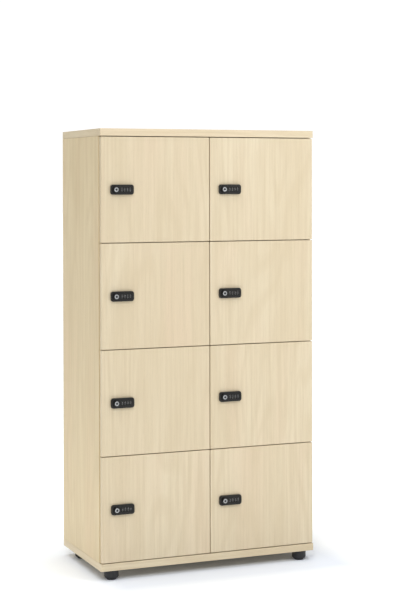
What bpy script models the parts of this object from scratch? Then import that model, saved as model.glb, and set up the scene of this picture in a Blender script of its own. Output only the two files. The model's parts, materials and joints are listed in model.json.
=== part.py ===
"""Compartment locker: eight laminate doors in two columns of four, each with a number lock.

Metres, +Z up. The floor is Z = 0, the doors face -Y, and the origin is at the centre of the
whole object's footprint. X runs from the left side panel to the right one.
"""

from math import cos, hypot, pi, radians, sin, sqrt

import bmesh
import bpy
from mathutils import Matrix, Vector

# Driving dimensions of the cabinet
WIDTH = 0.800
DEPTH = 0.420  # door front to the back edges of the panels
BODY_HEIGHT = 1.500  # underside of the bottom panel to the top of the top panel
FOOT_HEIGHT = 0.033
ROWS = 4
SLAB = 0.025  # top and bottom panels
BOARD = 0.018  # sides, divider, shelves and doors
BACK_BOARD = 0.008
BACK_RECESS = 0.002  # the back panel sits this far in from the panels' back edges
JOINT_GAP = 0.0003  # between boards that meet
BOARD_EDGE = 0.0008  # rounding of the boards' edge bands

# Doors
DOOR_GAP = 0.003  # between neighbouring doors, and under the top panel
DOOR_INSET = 0.003  # from the cabinet's outer side to the door's edge
DOOR_CLEARANCE = 0.002  # from the door's back to the boards' front edges
HINGE_CUP_RADIUS = 0.0175
HINGE_CUP_DEPTH = 0.0125
HINGE_CUP_INSET = 0.0225  # cup centre from the hinged edge
HINGE_FROM_END = 0.080  # cup centre from the door's top and bottom

# Number lock, seen from the front: the knob on the left, four wheels on its right
LOCK_WIDTH = 0.082
LOCK_HEIGHT = 0.034
LOCK_PROUD = 0.009  # front of the housing from the door
LOCK_CORNER = 0.0075
LOCK_CHAMFER = 0.0014
LOCK_INSET = 0.032  # from the door's free edge to the housing
KNOB_OFFSET = 0.017  # spindle from the housing's left end
KNOB_RADIUS = 0.010
KNOB_HEIGHT = 0.008  # beyond the housing's front
KNOB_CHAMFER = 0.0012
SPINDLE_RADIUS = 0.005
BOSS_RADIUS = 0.0092  # tube of the housing that passes through the door
BOSS_END = 0.0298  # how far the tube reaches behind the door's front
RUNNING_GAP = 0.0003
CUT_THROUGH = 0.002  # how far a cutter passes the surface it opens
JOINED_DEPTH = 0.004  # how far two solids of one piece run into each other

WHEELS = 4
WHEEL_SIDES = 10
WHEEL_RADIUS = 0.0065
WHEEL_WIDTH = 0.005
WHEEL_PITCH = 0.010
FIRST_WHEEL = 0.039  # centre of the first wheel from the housing's left end
WHEEL_SHOWS = 0.0012  # how far a wheel stands out of its window
WHEEL_SHAFT_RADIUS = 0.002
WHEEL_SHAFT_END = 0.0017  # shaft beyond the outer wheels
WINDOW_SIZE = (0.0058, 0.0120)
FRONT_WALL = 0.0016
CAVITY_HALF_HEIGHT = 0.0072
WHEEL_POCKET_DEPTH = 0.004  # recess in the door behind the wheels

CAM_THICKNESS = 0.003
CAM_WIDTH = 0.012
CAM_HUB_RADIUS = 0.009
CAM_HUB_START = radians(40)  # where the hub's arc leaves the arm, below the horizontal
CAM_NECK = 0.013  # where the arm reaches its full width, below the spindle
CAM_TIP_CORNER = 0.002
CAM_SQUARE = 0.0070  # square end of the spindle
CAM_BITE = 0.008  # how far the cam reaches into a board when locked
CAM_SLOT_DEPTH = 0.010
CAM_SLOT_MARGIN = 0.0015
CAM_FRONT = BOSS_END + 0.0008
SPINDLE_END = CAM_FRONT + CAM_THICKNESS + 0.0024

# Levelling feet: a round socket under the panel, and a glide that screws into it
FOOT_SIDE_INSET = 0.045
FOOT_FRONT_INSET = 0.026
FOOT_BACK_INSET = 0.075
SOCKET_RADIUS = 0.025
SOCKET_BOTTOM = 0.0045
SOCKET_ROUNDING = 0.008
GLIDE_RADIUS = 0.0165
GLIDE_ROUNDING = 0.0015
GLIDE_CLEARANCE = 0.0004
FOOT_STEM_RADIUS = 0.004
FOOT_STEM_TOP = 0.030
ROUNDING_STEPS = 3

ROUND_SIDES = 20
SMALL_SIDES = 16
CREASE_ANGLE = radians(40)

# Places worked out from the above
HALF = WIDTH / 2
FRONT_Y = -(DEPTH - LOCK_PROUD - KNOB_HEIGHT) / 2  # the doors' front faces
BACK_Y = FRONT_Y + DEPTH
BOARD_FRONT_Y = FRONT_Y + BOARD + DOOR_CLEARANCE
BACK_BOARD_Y = BACK_Y - BACK_RECESS - BACK_BOARD
BODY_BOTTOM = FOOT_HEIGHT
BODY_TOP = FOOT_HEIGHT + BODY_HEIGHT
INNER_BOTTOM = BODY_BOTTOM + SLAB
INNER_TOP = BODY_TOP - SLAB
ROW_PITCH = (INNER_TOP - INNER_BOTTOM - DOOR_GAP) / ROWS
DOOR_WIDTH = HALF - DOOR_INSET - DOOR_GAP / 2
DOOR_HEIGHT = ROW_PITCH - DOOR_GAP
LOCK_TO_HINGE = DOOR_WIDTH - LOCK_INSET - KNOB_OFFSET  # spindle to the hinged edge
WHEEL_AXIS_Y = -LOCK_PROUD - WHEEL_SHOWS + WHEEL_RADIUS  # from the door's front
HINGED_EDGE = {"left": -DOOR_GAP / 2, "right": HALF - DOOR_INSET}
CAM_REACH = {
    "left": LOCK_INSET + KNOB_OFFSET + DOOR_INSET - BOARD,
    "right": LOCK_INSET + KNOB_OFFSET + DOOR_GAP / 2 - BOARD / 2,
}  # spindle to the board that the cam locks into


def clear_scene():
    for obj in list(bpy.data.objects):
        bpy.data.objects.remove(obj, do_unlink=True)


def material(name, colour, roughness, metallic=0.0):
    made = bpy.data.materials.new(name)
    made.use_nodes = True
    shader = made.node_tree.nodes["Principled BSDF"]
    shader.inputs["Base Color"].default_value = (*colour, 1.0)
    shader.inputs["Roughness"].default_value = roughness
    shader.inputs["Metallic"].default_value = metallic
    made.diffuse_color = (*colour, 1.0)
    return made


def mesh_from(bm, name):
    bmesh.ops.recalc_face_normals(bm, faces=bm.faces)
    mesh = bpy.data.meshes.new(name)
    bm.to_mesh(mesh)
    bm.free()
    return mesh


def add_box(bm, low, high):
    """Adds a closed box between two corners and returns its edges."""
    low, high = Vector(low), Vector(high)
    size = high - low
    place = Matrix.Translation((low + high) / 2) @ Matrix.Diagonal((*size, 1.0))
    made = bmesh.ops.create_cube(bm, size=1.0, matrix=place)
    return list({edge for vert in made["verts"] for edge in vert.link_edges})


def box_mesh(name, low, high, rounding=0.0):
    bm = bmesh.new()
    edges = add_box(bm, low, high)
    if rounding:
        bmesh.ops.bevel(
            bm, geom=edges, offset=rounding, segments=2, profile=0.5, affect="EDGES"
        )
    return mesh_from(bm, name)


def turned(bm, profile, sides, to_world):
    """Adds a closed turned body. profile is (radius, height) pairs whose ends are on the axis."""
    rings = []
    for radius, height in profile:
        if radius == 0.0:
            rings.append([bm.verts.new(to_world @ Vector((0.0, 0.0, height)))])
            continue
        ring = []
        for k in range(sides):
            angle = 2 * pi * k / sides
            point = Vector((radius * cos(angle), radius * sin(angle), height))
            ring.append(bm.verts.new(to_world @ point))
        rings.append(ring)
    for first, second in zip(rings, rings[1:]):
        for k in range(sides):
            after = (k + 1) % sides
            corners = [first[k % len(first)], first[after % len(first)]]
            corners += [second[after % len(second)], second[k % len(second)]]
            bm.faces.new(dict.fromkeys(corners))


ALONG_X = Matrix.Rotation(pi / 2, 4, "Y")
ALONG_Y = Matrix.Rotation(-pi / 2, 4, "X")
ALONG_Z = Matrix.Identity(4)


def turned_mesh(name, profile, sides, to_world):
    bm = bmesh.new()
    turned(bm, profile, sides, to_world)
    return mesh_from(bm, name)


def rod(radius, low, high):
    """The profile of a plain rod."""
    return [(0.0, low), (radius, low), (radius, high), (0.0, high)]


def moved(matrix, x=0.0, y=0.0, z=0.0):
    return Matrix.Translation((x, y, z)) @ matrix


def baked(mesh, *steps):
    """The mesh after a row of exact Booleans, each an (operation, mesh) pair."""
    body = bpy.data.objects.new("body", mesh)
    bpy.context.scene.collection.objects.link(body)
    tools = []
    for operation, tool_mesh in steps:
        tool = bpy.data.objects.new("tool", tool_mesh)
        tool.hide_render = True
        tool.display_type = "WIRE"
        bpy.context.scene.collection.objects.link(tool)
        modifier = body.modifiers.new(operation, "BOOLEAN")
        modifier.operation = operation
        modifier.object = tool
        tools.append(tool)
    bpy.context.view_layer.update()
    graph = bpy.context.evaluated_depsgraph_get()
    result = bpy.data.meshes.new_from_object(body.evaluated_get(graph))
    result.name = mesh.name
    for obj in [body, *tools]:
        bpy.data.objects.remove(obj)
    return result


def smooth(mesh):
    mesh.shade_smooth()
    mesh.set_sharp_from_angle(angle=CREASE_ANGLE)
    return mesh


def place(name, mesh, finish, location=(0.0, 0.0, 0.0), parent=None):
    """Makes a named node. location is in the parent's space."""
    obj = bpy.data.objects.new(name, mesh)
    bpy.context.scene.collection.objects.link(obj)
    if not mesh.materials:
        mesh.materials.append(finish)
    obj.location = location
    obj.parent = parent
    return obj


def row_bottom(row):
    """Lower edge of a door. Row 1 is the top one."""
    return INNER_BOTTOM + DOOR_GAP + (ROWS - row) * ROW_PITCH


def lock_height(row):
    return row_bottom(row) + DOOR_HEIGHT / 2


def board(name, low, high, finish):
    """A board between two corners, with its own origin at its centre."""
    low, high = Vector(low), Vector(high)
    centre = (low + high) / 2
    mesh = box_mesh(name, low - centre, high - centre, BOARD_EDGE)
    return place(name, mesh, finish, centre)


def cam_slots(reach, face_x, depth_x):
    """Cutter for the slots that a column's four cams lock into, from face_x to depth_x."""
    tip = hypot(reach + CAM_BITE, CAM_WIDTH / 2)
    drop = sqrt(tip**2 - reach**2) + CAM_SLOT_MARGIN
    rise = CAM_WIDTH / 2 + CAM_SLOT_MARGIN
    near = FRONT_Y + CAM_FRONT - CAM_SLOT_MARGIN
    far = FRONT_Y + CAM_FRONT + CAM_THICKNESS + CAM_SLOT_MARGIN
    left, right = sorted((face_x, depth_x))
    bm = bmesh.new()
    for row in range(1, ROWS + 1):
        z = lock_height(row)
        add_box(bm, (left, near, z - drop), (right, far, z + rise))
    return mesh_from(bm, "cam_slots")


def slotted_board(name, low, high, slots, finish):
    mesh = baked(box_mesh(name, low, high, BOARD_EDGE), ("DIFFERENCE", slots))
    centre = (Vector(low) + Vector(high)) / 2
    mesh.transform(Matrix.Translation(-centre))
    return place(name, mesh, finish, centre)


def make_carcass(laminate, backing):
    inner = HALF - BOARD  # inner face of a side panel
    low, high = INNER_BOTTOM + JOINT_GAP, INNER_TOP - JOINT_GAP
    board("bottom_panel", (-HALF, FRONT_Y, BODY_BOTTOM), (HALF, BACK_Y, INNER_BOTTOM), laminate)
    board("top_panel", (-HALF, FRONT_Y, INNER_TOP), (HALF, BACK_Y, BODY_TOP), laminate)
    slotted_board(
        "left_side_panel",
        (-HALF, BOARD_FRONT_Y, low),
        (-inner, BACK_Y, high),
        cam_slots(CAM_REACH["left"], -inner + CUT_THROUGH, -inner - CAM_SLOT_DEPTH),
        laminate,
    )
    board("right_side_panel", (inner, BOARD_FRONT_Y, low), (HALF, BACK_Y, high), laminate)
    slotted_board(
        "centre_divider",
        (-BOARD / 2, BOARD_FRONT_Y, low),
        (BOARD / 2, BACK_BOARD_Y - JOINT_GAP, high),
        cam_slots(CAM_REACH["right"], BOARD / 2 + CUT_THROUGH, BOARD / 2 - CAM_SLOT_DEPTH),
        laminate,
    )
    board(
        "back_panel",
        (-inner + JOINT_GAP, BACK_BOARD_Y, low),
        (inner - JOINT_GAP, BACK_BOARD_Y + BACK_BOARD, high),
        backing,
    )


def make_shelves(laminate):
    """Three shelves in each column, each behind the gap between two doors."""
    inner = HALF - BOARD - JOINT_GAP
    middle = BOARD / 2 + JOINT_GAP
    spans = {"left": (-inner, -middle), "right": (middle, inner)}
    for side, (x_low, x_high) in spans.items():
        for row in range(1, ROWS):
            centre = row_bottom(row) - DOOR_GAP / 2
            board(
                f"shelf_{side}_{row}",
                (x_low, BOARD_FRONT_Y, centre - BOARD / 2),
                (x_high, BACK_BOARD_Y - JOINT_GAP, centre + BOARD / 2),
                laminate,
            )


def door_mesh():
    """A door with its origin on the hinge axis, at its front hinged corner, half way up."""
    half = DOOR_HEIGHT / 2
    slab = box_mesh("door", (-DOOR_WIDTH, 0.0, -half), (0.0, BOARD, half), BOARD_EDGE)
    lock_left = -LOCK_TO_HINGE - KNOB_OFFSET
    bm = bmesh.new()
    hole = rod(BOSS_RADIUS + 2 * RUNNING_GAP, -CUT_THROUGH, BOARD + CUT_THROUGH)
    turned(bm, hole, ROUND_SIDES, moved(ALONG_Y, x=-LOCK_TO_HINGE))
    first = lock_left + FIRST_WHEEL - WHEEL_WIDTH
    last = lock_left + FIRST_WHEEL + (WHEELS - 1) * WHEEL_PITCH + WHEEL_WIDTH
    pocket = CAVITY_HALF_HEIGHT + RUNNING_GAP
    add_box(bm, (first, -CUT_THROUGH, -pocket), (last, WHEEL_POCKET_DEPTH, pocket))
    for end in (-1, 1):
        bore = rod(HINGE_CUP_RADIUS, BOARD - HINGE_CUP_DEPTH, BOARD + CUT_THROUGH)
        spot = moved(ALONG_Y, x=-HINGE_CUP_INSET, z=end * (half - HINGE_FROM_END))
        turned(bm, bore, ROUND_SIDES, spot)
    return baked(slab, ("DIFFERENCE", mesh_from(bm, "door_cutter")))


def rounded_outline(inset):
    """The housing's outline as (x, z) points, pulled in by inset, with x from its left end."""
    radius = LOCK_CORNER - inset
    right, top = LOCK_WIDTH - LOCK_CORNER, LOCK_HEIGHT / 2 - LOCK_CORNER
    centres = ((right, top), (LOCK_CORNER, top), (LOCK_CORNER, -top), (right, -top))
    points = []
    steps = 2
    for quarter, (x, z) in enumerate(centres):
        for k in range(steps + 1):
            angle = (quarter + k / steps) * pi / 2
            points.append((x + radius * cos(angle), z + radius * sin(angle)))
    return points


def housing_shell():
    """The housing's outer shape, with its origin on the spindle, at the door's front."""
    bm = bmesh.new()
    layers = (
        (-RUNNING_GAP, 0.0),
        (-LOCK_PROUD + LOCK_CHAMFER, 0.0),
        (-LOCK_PROUD, LOCK_CHAMFER),
    )
    rings = []
    for y, inset in layers:
        outline = rounded_outline(inset)
        rings.append([bm.verts.new((x - KNOB_OFFSET, y, z)) for x, z in outline])
    bm.faces.new(rings[0])
    bm.faces.new(reversed(rings[-1]))
    for first, second in zip(rings, rings[1:]):
        for k in range(len(first)):
            after = (k + 1) % len(first)
            bm.faces.new((first[k], second[k], second[after], first[after]))
    return mesh_from(bm, "lock_housing")


def housing_mesh():
    """The lock's housing: windows for the wheels, a cavity behind them and a tube for the spindle."""
    boss = turned_mesh("boss", rod(BOSS_RADIUS, -JOINED_DEPTH, BOSS_END), ROUND_SIDES, ALONG_Y)
    bm = bmesh.new()
    bore = rod(SPINDLE_RADIUS + RUNNING_GAP, -LOCK_PROUD - CUT_THROUGH, BOSS_END + CUT_THROUGH)
    turned(bm, bore, SMALL_SIDES, ALONG_Y)
    tunnel = mesh_from(bm, "spindle_bore")
    first = FIRST_WHEEL - KNOB_OFFSET
    last = first + (WHEELS - 1) * WHEEL_PITCH
    half_stack = WHEEL_WIDTH / 2 + 2 * RUNNING_GAP
    cavity = box_mesh(
        "cavity",
        (first - half_stack, -LOCK_PROUD + FRONT_WALL, -CAVITY_HALF_HEIGHT),
        (last + half_stack, CUT_THROUGH, CAVITY_HALF_HEIGHT),
    )
    bm = bmesh.new()
    for k in range(WHEELS):
        x = first + k * WHEEL_PITCH
        wide, tall = WINDOW_SIZE
        low = (x - wide / 2, -LOCK_PROUD - CUT_THROUGH, -tall / 2)
        add_box(bm, low, (x + wide / 2, -LOCK_PROUD + FRONT_WALL + CUT_THROUGH / 2, tall / 2))
    windows = mesh_from(bm, "windows")
    ends = half_stack + WHEEL_SHAFT_END
    journal = turned_mesh(
        "journal",
        rod(WHEEL_SHAFT_RADIUS + RUNNING_GAP, first - ends, last + ends),
        WHEEL_SIDES,
        moved(ALONG_X, y=WHEEL_AXIS_Y),
    )
    return baked(
        housing_shell(),
        ("UNION", boss),
        ("DIFFERENCE", tunnel),
        ("DIFFERENCE", cavity),
        ("DIFFERENCE", windows),
        ("DIFFERENCE", journal),
    )


def knob_mesh():
    """Knob and spindle in one turned piece, ending in a square for the cam."""
    front = -LOCK_PROUD - KNOB_HEIGHT
    back = -LOCK_PROUD - RUNNING_GAP
    profile = [
        (0.0, front),
        (KNOB_RADIUS - KNOB_CHAMFER, front),
        (KNOB_RADIUS, front + KNOB_CHAMFER),
        (KNOB_RADIUS, back),
        (SPINDLE_RADIUS, back),
        (SPINDLE_RADIUS, BOSS_END + RUNNING_GAP),
        (0.0, BOSS_END + RUNNING_GAP),
    ]
    half = CAM_SQUARE / 2
    square = box_mesh(
        "square", (-half, BOSS_END - JOINED_DEPTH, -half), (half, SPINDLE_END, half)
    )
    return baked(turned_mesh("lock_knob", profile, SMALL_SIDES, ALONG_Y), ("UNION", square))


def cam_mesh(reach):
    """A flat cam that hangs down at rest, with its origin on the spindle."""
    bm = bmesh.new()
    length = reach + CAM_BITE
    half = CAM_WIDTH / 2
    start = -CAM_HUB_START
    sweep = pi - 2 * start
    steps = 6
    outline = []
    for k in range(steps + 1):
        angle = start + sweep * k / steps
        outline.append((CAM_HUB_RADIUS * cos(angle), CAM_HUB_RADIUS * sin(angle)))
    outline += [(-half, -CAM_NECK), (-half, CAM_TIP_CORNER - length), (CAM_TIP_CORNER - half, -length)]
    outline += [(half - CAM_TIP_CORNER, -length), (half, CAM_TIP_CORNER - length), (half, -CAM_NECK)]
    back = CAM_FRONT + CAM_THICKNESS
    front_ring = [bm.verts.new((x, CAM_FRONT, z)) for x, z in outline]
    back_ring = [bm.verts.new((x, back, z)) for x, z in outline]
    bm.faces.new(front_ring)
    bm.faces.new(reversed(back_ring))
    for k in range(len(outline)):
        after = (k + 1) % len(outline)
        bm.faces.new((front_ring[k], back_ring[k], back_ring[after], front_ring[after]))
    plate = mesh_from(bm, "lock_cam")
    hole = CAM_SQUARE / 2 + RUNNING_GAP
    eye = box_mesh("eye", (-hole, CAM_FRONT - CUT_THROUGH, -hole), (hole, back + CUT_THROUGH, hole))
    return baked(plate, ("DIFFERENCE", eye))


def wheels_mesh():
    """Four ten-sided number wheels on their shaft, with the origin on its axis at the first wheel."""
    half = WHEEL_WIDTH / 2
    ends = half + WHEEL_SHAFT_END
    profile = [(0.0, -ends), (WHEEL_SHAFT_RADIUS, -ends)]
    for k in range(WHEELS):
        centre = k * WHEEL_PITCH
        profile += [
            (WHEEL_SHAFT_RADIUS, centre - half),
            (WHEEL_RADIUS, centre - half),
            (WHEEL_RADIUS, centre + half),
            (WHEEL_SHAFT_RADIUS, centre + half),
        ]
    last = (WHEELS - 1) * WHEEL_PITCH + ends
    profile += [(WHEEL_SHAFT_RADIUS, last), (0.0, last)]
    return turned_mesh("number_wheels", profile, WHEEL_SIDES, ALONG_X)


def make_bays(laminate, black, silver, steel, dark_grey):
    """Door, housing, knob, cam and wheels of all eight compartments."""
    door = door_mesh()
    housing = smooth(housing_mesh())
    knob = smooth(knob_mesh())
    wheels = wheels_mesh()
    spindle = (-LOCK_TO_HINGE, 0.0, 0.0)
    wheel_x = FIRST_WHEEL - KNOB_OFFSET - LOCK_TO_HINGE
    for side, hinge_x in HINGED_EDGE.items():
        cam = cam_mesh(CAM_REACH[side])
        for row in range(1, ROWS + 1):
            bay = f"{side}_{row}"
            leaf = place(f"door_{bay}", door, laminate, (hinge_x, FRONT_Y, lock_height(row)))
            place(f"lock_housing_{bay}", housing, black, spindle, leaf)
            place(f"lock_knob_{bay}", knob, silver, spindle, leaf)
            place(f"lock_cam_{bay}", cam, steel, spindle, leaf)
            shaft = (wheel_x, WHEEL_AXIS_Y, 0.0)
            place(f"number_wheels_{bay}", wheels, dark_grey, shaft, leaf)


def rounded_underside(radius, bottom, rounding):
    """Profile points of a quarter circle, from a round wall down to its flat underside."""
    points = []
    for k in range(ROUNDING_STEPS + 1):
        angle = k * pi / 2 / ROUNDING_STEPS
        points.append((radius - rounding * (1 - cos(angle)), bottom + rounding * (1 - sin(angle))))
    return points


def make_feet(black, dark_grey):
    top = BODY_BOTTOM - JOINT_GAP
    socket_bore = FOOT_STEM_RADIUS + RUNNING_GAP
    bore_top = FOOT_STEM_TOP + RUNNING_GAP
    socket = [
        (0.0, top),
        (SOCKET_RADIUS, top),
        *rounded_underside(SOCKET_RADIUS, SOCKET_BOTTOM, SOCKET_ROUNDING),
        (socket_bore, SOCKET_BOTTOM),
        (socket_bore, bore_top),
        (0.0, bore_top),
    ]
    glide_top = SOCKET_BOTTOM - GLIDE_CLEARANCE
    glide = [
        (0.0, 0.0),
        *reversed(rounded_underside(GLIDE_RADIUS, 0.0, GLIDE_ROUNDING)),
        (GLIDE_RADIUS, glide_top),
        (FOOT_STEM_RADIUS, glide_top),
        (FOOT_STEM_RADIUS, FOOT_STEM_TOP),
        (0.0, FOOT_STEM_TOP),
    ]
    socket = smooth(turned_mesh("foot_socket", socket, ROUND_SIDES, ALONG_Z))
    glide = smooth(turned_mesh("foot_glide", glide, ROUND_SIDES, ALONG_Z))
    for end, y in (("front", FRONT_Y + FOOT_FRONT_INSET), ("back", BACK_Y - FOOT_BACK_INSET)):
        for side, sign in (("left", -1), ("right", 1)):
            x = sign * (HALF - FOOT_SIDE_INSET)
            place(f"foot_socket_{end}_{side}", socket, black, (x, y, 0.0))
            place(f"foot_glide_{end}_{side}", glide, dark_grey, (x, y, 0.0))


def main():
    clear_scene()
    laminate = material("maple_laminate", (0.78, 0.67, 0.48), 0.45)
    backing = material("back_laminate", (0.76, 0.66, 0.49), 0.55)
    black = material("black_plastic", (0.03, 0.03, 0.032), 0.40)
    dark_grey = material("dark_plastic", (0.045, 0.045, 0.048), 0.45)
    silver = material("satin_metal", (0.62, 0.62, 0.61), 0.30, 1.0)
    steel = material("zinc_steel", (0.55, 0.56, 0.57), 0.35, 1.0)
    make_carcass(laminate, backing)
    make_shelves(laminate)
    make_bays(laminate, black, silver, steel, dark_grey)
    make_feet(black, dark_grey)


main()
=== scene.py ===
"""Looks of the compartment locker: laminate boards, number locks, cup hinges and levelling feet."""

import json
from math import cos, pi, radians, sin

import bmesh
import bpy
from mathutils import Euler, Matrix, Vector


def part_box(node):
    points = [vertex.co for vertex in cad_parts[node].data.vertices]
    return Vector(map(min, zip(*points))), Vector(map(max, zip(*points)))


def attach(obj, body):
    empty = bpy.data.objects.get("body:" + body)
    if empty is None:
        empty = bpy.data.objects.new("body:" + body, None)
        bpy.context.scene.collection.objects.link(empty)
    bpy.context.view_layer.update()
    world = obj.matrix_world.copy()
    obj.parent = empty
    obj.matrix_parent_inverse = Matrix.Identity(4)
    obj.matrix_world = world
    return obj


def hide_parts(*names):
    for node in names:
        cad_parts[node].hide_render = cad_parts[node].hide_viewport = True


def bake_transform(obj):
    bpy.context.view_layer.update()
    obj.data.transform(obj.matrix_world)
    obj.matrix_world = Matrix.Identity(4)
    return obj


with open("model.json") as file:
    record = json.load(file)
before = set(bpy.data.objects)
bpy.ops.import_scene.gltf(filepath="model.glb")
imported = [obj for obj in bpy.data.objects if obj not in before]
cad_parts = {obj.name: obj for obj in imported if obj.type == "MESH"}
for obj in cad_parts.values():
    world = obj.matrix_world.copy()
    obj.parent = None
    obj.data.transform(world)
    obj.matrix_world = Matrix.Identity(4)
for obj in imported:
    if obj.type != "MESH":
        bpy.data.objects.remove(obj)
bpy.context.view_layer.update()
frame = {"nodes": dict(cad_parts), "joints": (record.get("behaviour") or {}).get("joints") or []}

NODES = frame["nodes"]
SIDES = ("left", "right")
ROWS = (1, 2, 3, 4)
BAYS = [f"{side}_{row}" for side in SIDES for row in ROWS]
FEET = [f"{end}_{side}" for end in ("front", "back") for side in SIDES]
JOINTS = {joint["name"]: joint for joint in frame["joints"]}


# ---------------------------------------------------------------- places taken from the frame


def joint_place(name):
    return Vector(JOINTS[name]["pos_m"])


def spindle_place(bay):
    """Where the knob's axis meets the door's front face."""
    return joint_place(f"knob_{bay}_turn")


def hinge_place(bay):
    """The door's hinge axis at the door's front face, half way up the door."""
    return joint_place(f"door_{bay}_hinge")


DOOR_LOW, DOOR_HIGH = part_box("door_left_1")
DOOR_THICKNESS = DOOR_HIGH.y - DOOR_LOW.y


# ---------------------------------------------------------------- mesh making


CREASE = 35  # degrees; steeper edges stay sharp
SOFT_CREASE = 40
ROUND_CREASE = 50


def finish_mesh(bm, name, crease=CREASE):
    """Turns a bmesh into a smooth-shaded mesh with sharp edges above the crease angle."""
    bmesh.ops.recalc_face_normals(bm, faces=bm.faces)
    mesh = bpy.data.meshes.new(name)
    bm.to_mesh(mesh)
    bm.free()
    mesh.shade_smooth()
    mesh.set_sharp_from_angle(angle=radians(crease))
    return mesh


def object_from(data, name):
    """A new object of a mesh, curve, light or camera, linked to the scene."""
    obj = bpy.data.objects.new(name, data)
    bpy.context.scene.collection.objects.link(obj)
    return obj


def box_edges(bm, low, high):
    low, high = Vector(low), Vector(high)
    place = Matrix.Translation((low + high) / 2) @ Matrix.Diagonal((*(high - low), 1.0))
    made = bmesh.ops.create_cube(bm, size=1.0, matrix=place)
    return list({edge for vert in made["verts"] for edge in vert.link_edges})


def round_off(bm, edges, radius, segments):
    bmesh.ops.bevel(bm, geom=edges, offset=radius, segments=segments, profile=0.5, affect="EDGES")


def rounded_box(bm, low, high, radius, segments):
    round_off(bm, box_edges(bm, low, high), radius, segments)


# Where a turned body's own axis, or a prism's height, points.
ALONG_X = Matrix.Rotation(pi / 2, 4, "Y")
ALONG_Y = Matrix.Rotation(-pi / 2, 4, "X")
ALONG_Z = Matrix.Identity(4)
# An outline's x, y and height, taken to x, z and -Y, and to y, z and -X.
FACING_FRONT = Matrix(((1, 0, 0, 0), (0, 0, -1, 0), (0, 1, 0, 0), (0, 0, 0, 1)))
FACING_LEFT = Matrix(((0, 0, -1, 0), (1, 0, 0, 0), (0, 1, 0, 0), (0, 0, 0, 1)))


def turned(bm, profile, sides, to_world):
    """Adds a closed turned body from (radius, height) pairs, closed on the axis or as a ring."""
    ring_shaped = profile[0][0] > 0
    rings = []
    for radius, height in profile:
        count = sides if radius > 0 else 1
        ring = []
        for k in range(count):
            angle = 2 * pi * k / sides
            corner = Vector((radius * cos(angle), radius * sin(angle), height))
            ring.append(bm.verts.new(to_world @ corner))
        rings.append(ring)
    pairs = list(zip(rings, rings[1:]))
    if ring_shaped:
        pairs.append((rings[-1], rings[0]))
    for first, second in pairs:
        for k in range(sides):
            after = (k + 1) % sides
            corners = [first[k % len(first)], first[after % len(first)]]
            corners += [second[after % len(second)], second[k % len(second)]]
            bm.faces.new(dict.fromkeys(corners))


def rounded_profile(corners, steps=4):
    """A turned profile whose corners (radius, height, rounding) become arcs of that rounding."""
    points = []
    for index, (radius, height, rounding) in enumerate(corners):
        here = Vector((radius, height))
        if rounding == 0 or index in (0, len(corners) - 1):
            points.append((radius, height))
            continue
        before = Vector(corners[index - 1][:2])
        after = Vector(corners[index + 1][:2])
        start = here + (before - here).normalized() * rounding
        end = here + (after - here).normalized() * rounding
        for k in range(steps + 1):
            t = k / steps
            bend = start * (1 - t) ** 2 + here * 2 * t * (1 - t) + end * t**2
            points.append((bend.x, bend.y))
    return points


def extruded(bm, outline, to_world, low, high, rounding=0.0, segments=2):
    """Adds a prism on an outline of (x, y) points, from height low to high, with rounded rims."""
    bottom = [bm.verts.new(to_world @ Vector((x, y, low))) for x, y in outline]
    top = [bm.verts.new(to_world @ Vector((x, y, high))) for x, y in outline]
    caps = [bm.faces.new(bottom), bm.faces.new(reversed(top))]
    for k in range(len(outline)):
        after = (k + 1) % len(outline)
        bm.faces.new((bottom[k], top[k], top[after], bottom[after]))
    if rounding:
        rims = list({edge for cap in caps for edge in cap.edges})
        round_off(bm, rims, rounding, segments)


def rounded_rectangle(width, height, radius, steps=6, centre=(0.0, 0.0)):
    """Outline points of a rectangle with round corners, about a centre."""
    right, top = width / 2 - radius, height / 2 - radius
    points = []
    for quarter, (x, y) in enumerate(((right, top), (-right, top), (-right, -top), (right, -top))):
        for k in range(steps + 1):
            angle = (quarter + k / steps) * pi / 2
            corner_x, corner_y = centre[0] + x, centre[1] + y
            points.append((corner_x + radius * cos(angle), corner_y + radius * sin(angle)))
    return points


def turned_mesh(name, profile, sides, to_world):
    bm = bmesh.new()
    turned(bm, profile, sides, to_world)
    return finish_mesh(bm, name)


def bar_mesh(name, radius, low, high, sides, to_world=ALONG_Y):
    """A plain round bar between two heights."""
    profile = [(0.0, low), (radius, low), (radius, high), (0.0, high)]
    return turned_mesh(name, profile, sides, to_world)


def prism_mesh(name, outline, to_world, low, high, rounding=0.0, segments=2, crease=CREASE):
    bm = bmesh.new()
    extruded(bm, outline, to_world, low, high, rounding, segments)
    return finish_mesh(bm, name, crease)


def box_mesh(name, low, high):
    bm = bmesh.new()
    box_edges(bm, low, high)
    return finish_mesh(bm, name)


def baked(mesh, *steps):
    """The mesh after a row of exact Booleans, each an (operation, mesh) pair."""
    body = object_from(mesh, "body")
    tools = []
    for operation, tool_mesh in steps:
        tool = object_from(tool_mesh, "tool")
        modifier = body.modifiers.new(operation, "BOOLEAN")
        modifier.operation = operation
        modifier.object = tool
        tools.append(tool)
    bpy.context.view_layer.update()
    graph = bpy.context.evaluated_depsgraph_get()
    result = bpy.data.meshes.new_from_object(body.evaluated_get(graph))
    result.name = mesh.name
    for obj in [body, *tools]:
        bpy.data.objects.remove(obj)
    result.shade_smooth()
    result.set_sharp_from_angle(angle=radians(CREASE))
    return result


def piece(name, mesh, finish, body, place=(0.0, 0.0, 0.0), turn=None, replaces=()):
    """Makes a visible piece at a place in the shared frame, riding on a CAD body."""
    obj = object_from(mesh, name)
    if finish and not mesh.materials:
        mesh.materials.append(finish)
    obj.location = place
    if turn:
        obj.rotation_euler = turn
    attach(obj, body)
    if replaces:
        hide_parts(*replaces)
    return obj


# ---------------------------------------------------------------- materials


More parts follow.
